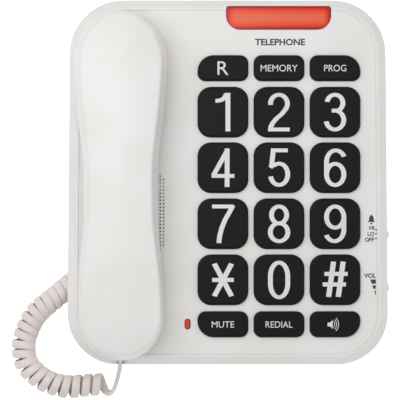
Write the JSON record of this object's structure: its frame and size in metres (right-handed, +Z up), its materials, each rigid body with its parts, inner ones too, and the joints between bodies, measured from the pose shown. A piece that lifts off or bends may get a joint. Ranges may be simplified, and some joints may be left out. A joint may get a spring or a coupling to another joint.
{
  "type": "corded desk telephone",
  "caption": "Corded desk telephone: sloping base with big square keys, a handset in a cradle on the left, a red ringer lens and a curly cord.",
  "frame": {"origin": "bottom centre of the phone's own box without its cord, on the desk", "axes": "+X to the phone's right, +Y away from the user, +Z up from the desk"},
  "size_m": [0.2187, 0.2282, 0.075],
  "materials": {
    "white_shell": "satin moulded ABS, near white",
    "black_key": "satin black moulded keycap with printed white figures",
    "red_lens": "translucent red moulded polycarbonate",
    "silicone": "grey silicone rubber",
    "board": "green solder-masked circuit board",
    "steel": "zinc-plated steel",
    "paper": "black pressed paper cone",
    "rubber": "black rubber",
    "clear": "clear moulded polycarbonate",
    "cord": "satin PVC cord jacket, warm beige grey"
  },
  "bodies": {
    "base": {"base_screw_1": "steel", "base_screw_2": "steel", "base_screw_3": "steel", "base_screw_4": "steel", "base_weight": "steel", "bottom_housing": "white_shell", "cord_curl": "cord", "cord_plug_base": "clear", "cord_tail_base": "cord", "cord_tail_handset": "cord", "foot_back_left": "rubber", "foot_back_right": "rubber", "foot_front_left": "rubber", "foot_front_right": "rubber", "handset_cord_jack": "clear", "hook_switch": "steel", "keypad_membrane": "silicone", "line_jack": "clear", "loudspeaker_cone": "paper", "loudspeaker_frame": "steel", "main_board": "board", "ringer_control": "steel", "ringer_lamp_left": "clear", "ringer_lamp_right": "clear", "ringer_lens": "red_lens", "status_lamp": "clear", "status_window": "red_lens", "top_housing": "white_shell", "volume_control": "steel"},
    "handset": {"handset_back": "white_shell", "handset_front": "white_shell", "receiver": "steel", "microphone": "steel", "handset_weight": "steel", "handset_jack": "clear", "handset_screw_1": "steel", "handset_screw_2": "steel", "cord_plug_handset": "clear"},
    "hook_plunger": {"hook_plunger": "white_shell"},
    "ringer_knob": {"ringer_knob": "white_shell"},
    "volume_knob": {"volume_knob": "white_shell"},
    "key_1": {"key_1": "black_key"},
    "key_2": {"key_2": "black_key"},
    "key_3": {"key_3": "black_key"},
    "key_4": {"key_4": "black_key"},
    "key_5": {"key_5": "black_key"},
    "key_6": {"key_6": "black_key"},
    "key_7": {"key_7": "black_key"},
    "key_8": {"key_8": "black_key"},
    "key_9": {"key_9": "black_key"},
    "key_star": {"key_star": "black_key"},
    "key_0": {"key_0": "black_key"},
    "key_hash": {"key_hash": "black_key"},
    "key_r": {"key_r": "black_key"},
    "key_memory": {"key_memory": "black_key"},
    "key_program": {"key_program": "black_key"},
    "key_mute": {"key_mute": "black_key"},
    "key_redial": {"key_redial": "black_key"},
    "key_speakerphone": {"key_speakerphone": "black_key"}
  },
  "joints": [
    {"name": "key_1_press", "type": "slide", "parent": "base", "child": "key_1", "axis": [0, 0.1219, -0.9925], "range_m": [0, 0.0015], "stiffness_N_per_m": 200, "springref_m": -0.001},
    {"name": "key_2_press", "type": "slide", "parent": "base", "child": "key_2", "axis": [0, 0.1219, -0.9925], "range_m": [0, 0.0015], "stiffness_N_per_m": 200, "springref_m": -0.001},
    {"name": "key_3_press", "type": "slide", "parent": "base", "child": "key_3", "axis": [0, 0.1219, -0.9925], "range_m": [0, 0.0015], "stiffness_N_per_m": 200, "springref_m": -0.001},
    {"name": "key_4_press", "type": "slide", "parent": "base", "child": "key_4", "axis": [0, 0.1219, -0.9925], "range_m": [0, 0.0015], "stiffness_N_per_m": 200, "springref_m": -0.001},
    {"name": "key_5_press", "type": "slide", "parent": "base", "child": "key_5", "axis": [0, 0.1219, -0.9925], "range_m": [0, 0.0015], "stiffness_N_per_m": 200, "springref_m": -0.001},
    {"name": "key_6_press", "type": "slide", "parent": "base", "child": "key_6", "axis": [0, 0.1219, -0.9925], "range_m": [0, 0.0015], "stiffness_N_per_m": 200, "springref_m": -0.001},
    {"name": "key_7_press", "type": "slide", "parent": "base", "child": "key_7", "axis": [0, 0.1219, -0.9925], "range_m": [0, 0.0015], "stiffness_N_per_m": 200, "springref_m": -0.001},
    {"name": "key_8_press", "type": "slide", "parent": "base", "child": "key_8", "axis": [0, 0.1219, -0.9925], "range_m": [0, 0.0015], "stiffness_N_per_m": 200, "springref_m": -0.001},
    {"name": "key_9_press", "type": "slide", "parent": "base", "child": "key_9", "axis": [0, 0.1219, -0.9925], "range_m": [0, 0.0015], "stiffness_N_per_m": 200, "springref_m": -0.001},
    {"name": "key_star_press", "type": "slide", "parent": "base", "child": "key_star", "axis": [0, 0.1219, -0.9925], "range_m": [0, 0.0015], "stiffness_N_per_m": 200, "springref_m": -0.001},
    {"name": "key_0_press", "type": "slide", "parent": "base", "child": "key_0", "axis": [0, 0.1219, -0.9925], "range_m": [0, 0.0015], "stiffness_N_per_m": 200, "springref_m": -0.001},
    {"name": "key_hash_press", "type": "slide", "parent": "base", "child": "key_hash", "axis": [0, 0.1219, -0.9925], "range_m": [0, 0.0015], "stiffness_N_per_m": 200, "springref_m": -0.001},
    {"name": "key_r_press", "type": "slide", "parent": "base", "child": "key_r", "axis": [0, 0.1219, -0.9925], "range_m": [0, 0.0015], "stiffness_N_per_m": 200, "springref_m": -0.001},
    {"name": "key_memory_press", "type": "slide", "parent": "base", "child": "key_memory", "axis": [0, 0.1219, -0.9925], "range_m": [0, 0.0015], "stiffness_N_per_m": 200, "springref_m": -0.001},
    {"name": "key_program_press", "type": "slide", "parent": "base", "child": "key_program", "axis": [0, 0.1219, -0.9925], "range_m": [0, 0.0015], "stiffness_N_per_m": 200, "springref_m": -0.001},
    {"name": "key_mute_press", "type": "slide", "parent": "base", "child": "key_mute", "axis": [0, 0.1219, -0.9925], "range_m": [0, 0.0015], "stiffness_N_per_m": 200, "springref_m": -0.001},
    {"name": "key_redial_press", "type": "slide", "parent": "base", "child": "key_redial", "axis": [0, 0.1219, -0.9925], "range_m": [0, 0.0015], "stiffness_N_per_m": 200, "springref_m": -0.001},
    {"name": "key_speakerphone_press", "type": "slide", "parent": "base", "child": "key_speakerphone", "axis": [0, 0.1219, -0.9925], "range_m": [0, 0.0015], "stiffness_N_per_m": 200, "springref_m": -0.001},
    {"name": "handset_lift", "type": "slide", "parent": "base", "child": "handset", "axis": [0, -0.1219, 0.9925], "range_m": [0, 0.1]},
    {"name": "hook_plunger_rise", "type": "slide", "parent": "base", "child": "hook_plunger", "axis": [0, -0.1219, 0.9925], "range_m": [0, 0.004]},
    {"name": "ringer_slide", "type": "slide", "parent": "base", "child": "ringer_knob", "axis": [0, 0.9925, 0.1219], "range_m": [-0.0027, 0.0027]},
    {"name": "volume_slide", "type": "slide", "parent": "base", "child": "volume_knob", "axis": [0, 0.9925, 0.1219], "range_m": [-0.004, 0.004]}
  ],
  "couplings": [
    {"joint": "hook_plunger_rise", "follows": "handset_lift", "ratio": 0.04}
  ]
}
